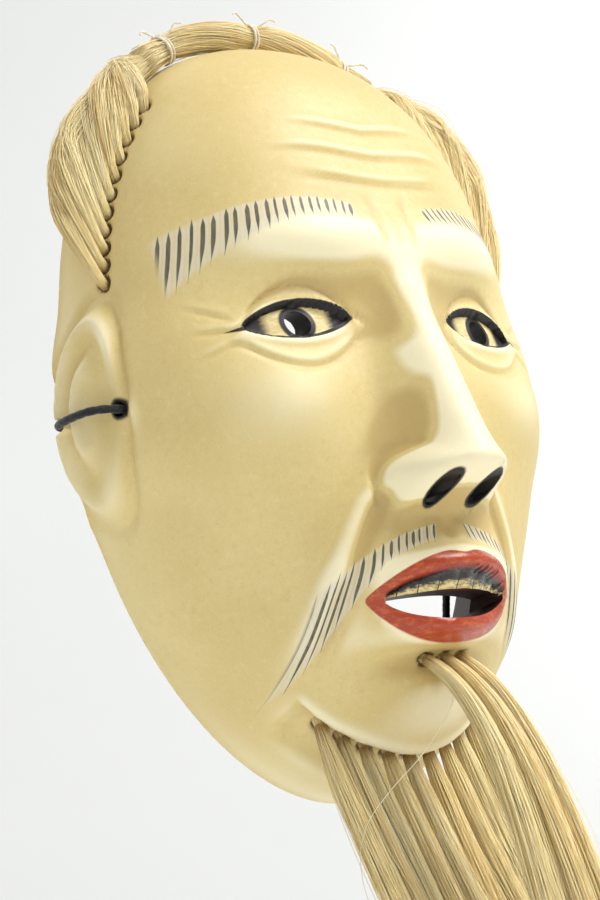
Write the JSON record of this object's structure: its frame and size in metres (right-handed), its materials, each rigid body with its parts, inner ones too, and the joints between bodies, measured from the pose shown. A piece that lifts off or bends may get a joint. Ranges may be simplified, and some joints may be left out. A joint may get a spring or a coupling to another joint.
{
  "type": "noh mask",
  "caption": "Carved wooden old-man theatre mask with pierced eyes and mouth, tied horsehair sidelocks, lip and chin beard, and a black cord at each ear.",
  "frame": {"origin": "centre of the plane of the rim at the back of the mask", "axes": "+Z to the crown, the face looks along -Y, +X is the wearer's left; +Y points out of the back"},
  "size_m": [0.1578, 0.0934, 0.3221],
  "materials": {
    "painted_wood": "satin",
    "horsehair": "satin",
    "tie_string": "matte",
    "black_cord": "matte"
  },
  "bodies": {
    "mask": {"mask_shell": "painted_wood", "right_sidelock_tuft_1": "horsehair", "right_sidelock_tuft_2": "horsehair", "right_sidelock_tuft_3": "horsehair", "right_sidelock_tuft_4": "horsehair", "right_sidelock_tuft_5": "horsehair", "right_sidelock_tuft_6": "horsehair", "right_sidelock_tuft_7": "horsehair", "right_sidelock_tuft_8": "horsehair", "right_sidelock_tuft_9": "horsehair", "right_sidelock_tuft_10": "horsehair", "right_sidelock_tuft_11": "horsehair", "left_sidelock_tuft_1": "horsehair", "left_sidelock_tuft_2": "horsehair", "left_sidelock_tuft_3": "horsehair", "left_sidelock_tuft_4": "horsehair", "left_sidelock_tuft_5": "horsehair", "left_sidelock_tuft_6": "horsehair", "left_sidelock_tuft_7": "horsehair", "left_sidelock_tuft_8": "horsehair", "left_sidelock_tuft_9": "horsehair", "left_sidelock_tuft_10": "horsehair", "left_sidelock_tuft_11": "horsehair", "right_sidelock": "horsehair", "left_sidelock": "horsehair", "top_bundle": "horsehair", "right_bundle_tie": "tie_string", "centre_bundle_tie": "tie_string", "left_bundle_tie": "tie_string", "lip_tuft_roots": "horsehair", "chin_tuft_roots": "horsehair", "right_ear_cord": "black_cord", "left_ear_cord": "black_cord", "right_cord_knot": "black_cord", "left_cord_knot": "black_cord", "right_cord_hank": "black_cord", "left_cord_hank": "black_cord", "right_hank_tie": "tie_string", "left_hank_tie": "tie_string"},
    "lip_tuft_1": {"lip_tuft_1": "horsehair"},
    "lip_tuft_2": {"lip_tuft_2": "horsehair"},
    "lip_tuft_3": {"lip_tuft_3": "horsehair"},
    "chin_tuft_1": {"chin_tuft_1": "horsehair"},
    "chin_tuft_2": {"chin_tuft_2": "horsehair"},
    "chin_tuft_3": {"chin_tuft_3": "horsehair"},
    "chin_tuft_4": {"chin_tuft_4": "horsehair"},
    "chin_tuft_5": {"chin_tuft_5": "horsehair"},
    "chin_tuft_6": {"chin_tuft_6": "horsehair"},
    "chin_tuft_7": {"chin_tuft_7": "horsehair"},
    "chin_tuft_8": {"chin_tuft_8": "horsehair"},
    "chin_tuft_9": {"chin_tuft_9": "horsehair"}
  },
  "joints": [
    {"name": "lip_tuft_2_swing", "type": "hinge", "parent": "mask", "child": "lip_tuft_2", "pos_m": [0, -0.04936, -0.07381], "axis": [1, 0, 0], "range_deg": [-25, 0], "stiffness_Nm_per_rad": 0.02},
    {"name": "chin_tuft_5_swing", "type": "hinge", "parent": "mask", "child": "chin_tuft_5", "pos_m": [0, -0.03026, -0.09554], "axis": [1, 0, 0], "range_deg": [0, 35], "stiffness_Nm_per_rad": 0.02},
    {"name": "lip_tuft_1_swing", "type": "hinge", "parent": "mask", "child": "lip_tuft_1", "pos_m": [-0.0056, -0.04901, -0.07381], "axis": [1, 0, 0], "range_deg": [-25, 0], "stiffness_Nm_per_rad": 0.02},
    {"name": "lip_tuft_3_swing", "type": "hinge", "parent": "mask", "child": "lip_tuft_3", "pos_m": [0.0056, -0.04901, -0.07381], "axis": [1, 0, 0], "range_deg": [-25, 0], "stiffness_Nm_per_rad": 0.02},
    {"name": "chin_tuft_1_swing", "type": "hinge", "parent": "mask", "child": "chin_tuft_1", "pos_m": [-0.02512, -0.02697, -0.08592], "axis": [1, 0, 0], "range_deg": [0, 35], "stiffness_Nm_per_rad": 0.02},
    {"name": "chin_tuft_2_swing", "type": "hinge", "parent": "mask", "child": "chin_tuft_2", "pos_m": [-0.01943, -0.02805, -0.08968], "axis": [1, 0, 0], "range_deg": [0, 35], "stiffness_Nm_per_rad": 0.02},
    {"name": "chin_tuft_3_swing", "type": "hinge", "parent": "mask", "child": "chin_tuft_3", "pos_m": [-0.01327, -0.02926, -0.09269], "axis": [1, 0, 0], "range_deg": [0, 35], "stiffness_Nm_per_rad": 0.02},
    {"name": "chin_tuft_4_swing", "type": "hinge", "parent": "mask", "child": "chin_tuft_4", "pos_m": [-0.00675, -0.03005, -0.09473], "axis": [1, 0, 0], "range_deg": [0, 35], "stiffness_Nm_per_rad": 0.02},
    {"name": "chin_tuft_6_swing", "type": "hinge", "parent": "mask", "child": "chin_tuft_6", "pos_m": [0.00675, -0.03005, -0.09473], "axis": [1, 0, 0], "range_deg": [0, 35], "stiffness_Nm_per_rad": 0.02},
    {"name": "chin_tuft_7_swing", "type": "hinge", "parent": "mask", "child": "chin_tuft_7", "pos_m": [0.01327, -0.02926, -0.09269], "axis": [1, 0, 0], "range_deg": [0, 35], "stiffness_Nm_per_rad": 0.02},
    {"name": "chin_tuft_8_swing", "type": "hinge", "parent": "mask", "child": "chin_tuft_8", "pos_m": [0.01943, -0.02805, -0.08968], "axis": [1, 0, 0], "range_deg": [0, 35], "stiffness_Nm_per_rad": 0.02},
    {"name": "chin_tuft_9_swing", "type": "hinge", "parent": "mask", "child": "chin_tuft_9", "pos_m": [0.02512, -0.02697, -0.08592], "axis": [1, 0, 0], "range_deg": [0, 35], "stiffness_Nm_per_rad": 0.02}
  ],
  "couplings": [
    {"joint": "lip_tuft_1_swing", "follows": "lip_tuft_2_swing", "ratio": 1},
    {"joint": "lip_tuft_3_swing", "follows": "lip_tuft_2_swing", "ratio": 1},
    {"joint": "chin_tuft_1_swing", "follows": "chin_tuft_5_swing", "ratio": 1},
    {"joint": "chin_tuft_2_swing", "follows": "chin_tuft_5_swing", "ratio": 1},
    {"joint": "chin_tuft_3_swing", "follows": "chin_tuft_5_swing", "ratio": 1},
    {"joint": "chin_tuft_4_swing", "follows": "chin_tuft_5_swing", "ratio": 1},
    {"joint": "chin_tuft_6_swing", "follows": "chin_tuft_5_swing", "ratio": 1},
    {"joint": "chin_tuft_7_swing", "follows": "chin_tuft_5_swing", "ratio": 1},
    {"joint": "chin_tuft_8_swing", "follows": "chin_tuft_5_swing", "ratio": 1},
    {"joint": "chin_tuft_9_swing", "follows": "chin_tuft_5_swing", "ratio": 1}
  ]
}
